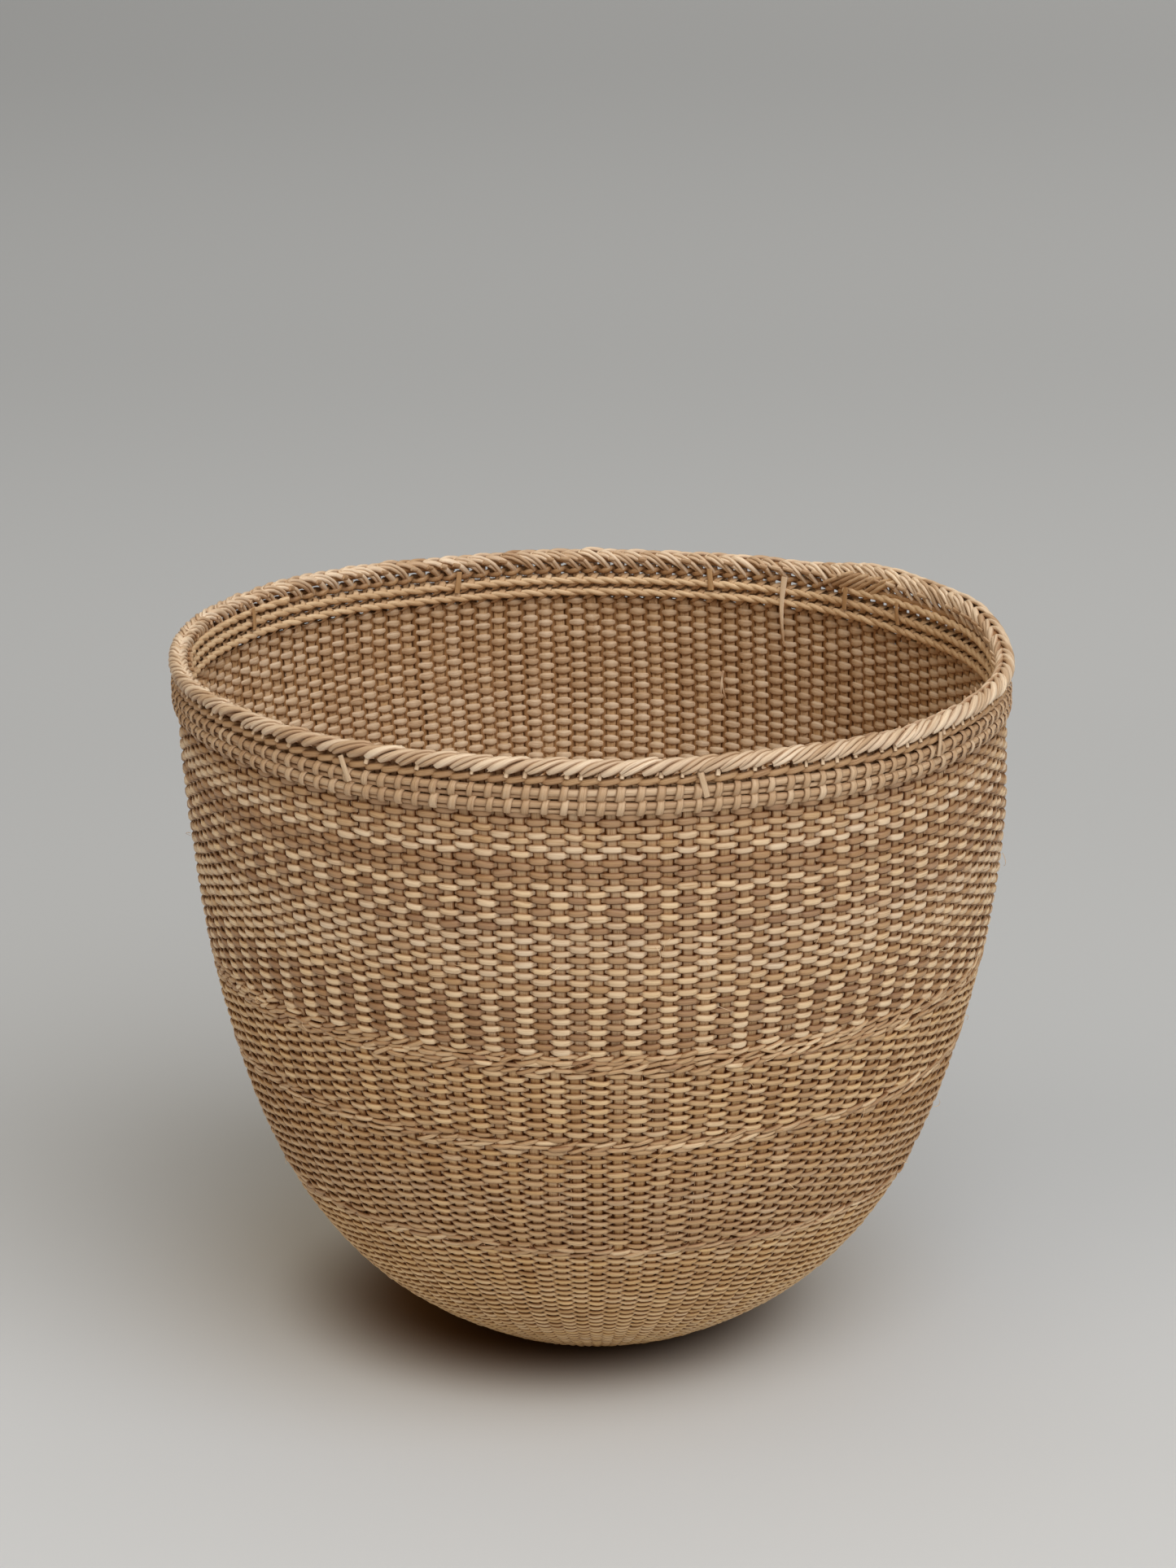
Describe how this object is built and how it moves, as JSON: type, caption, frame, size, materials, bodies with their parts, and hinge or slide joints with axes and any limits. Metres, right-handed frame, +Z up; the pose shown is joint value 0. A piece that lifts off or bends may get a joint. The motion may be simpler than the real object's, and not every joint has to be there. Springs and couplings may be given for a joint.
{
  "type": "burden basket",
  "caption": "Deep round carrying basket of woven split cane on upright stakes, with twined bands, lashed hoops and a folded border at its open mouth.",
  "frame": {"origin": "on the floor, under the centre of the round base", "axes": "+Z up along the basket's axis, out of its mouth; -Y is the side that faces the viewer in the picture, +X is its right"},
  "size_m": [0.4, 0.4, 0.3409],
  "materials": {
    "weave_cane": "split cane, over-one-under-one in two alternating tones, satin",
    "band_cane": "split cane, twined, warm tan, satin",
    "stake_cane": "split cane, upright, satin",
    "hoop_cane": "peeled cane rod, pale, satin",
    "lashing_cane": "narrow split cane, satin",
    "twining_cane": "darker split cane, twined, satin",
    "border_cane": "pale peeled splints, folded and plaited, satin",
    "tie_cane": "pale narrow splint, satin"
  },
  "bodies": {
    "root": {"base_start": "weave_cane", "base_weave": "weave_cane", "lower_wall_weave": "weave_cane", "middle_wall_weave": "weave_cane", "upper_wall_weave": "weave_cane", "base_twined_band": "band_cane", "lower_twined_band": "band_cane", "upper_twined_band": "band_cane", "stake_collar": "stake_cane", "lower_hoop_thin_rod": "hoop_cane", "lower_hoop_thick_rod": "hoop_cane", "upper_hoop_thin_rod": "hoop_cane", "upper_hoop_thick_rod": "hoop_cane", "lower_hoop_lashing": "lashing_cane", "upper_hoop_lashing": "lashing_cane", "outer_twining_strand": "twining_cane", "inner_twining_strand": "twining_cane", "folded_border": "border_cane", "front_left_tie": "tie_cane", "front_tie": "tie_cane", "front_right_tie": "tie_cane", "left_tie": "tie_cane", "back_left_tie": "tie_cane", "back_tie": "tie_cane", "back_right_tie": "tie_cane", "right_tie": "tie_cane", "loose_splint_end": "tie_cane", "split_splint_end": "tie_cane"}
  },
  "joints": []
}
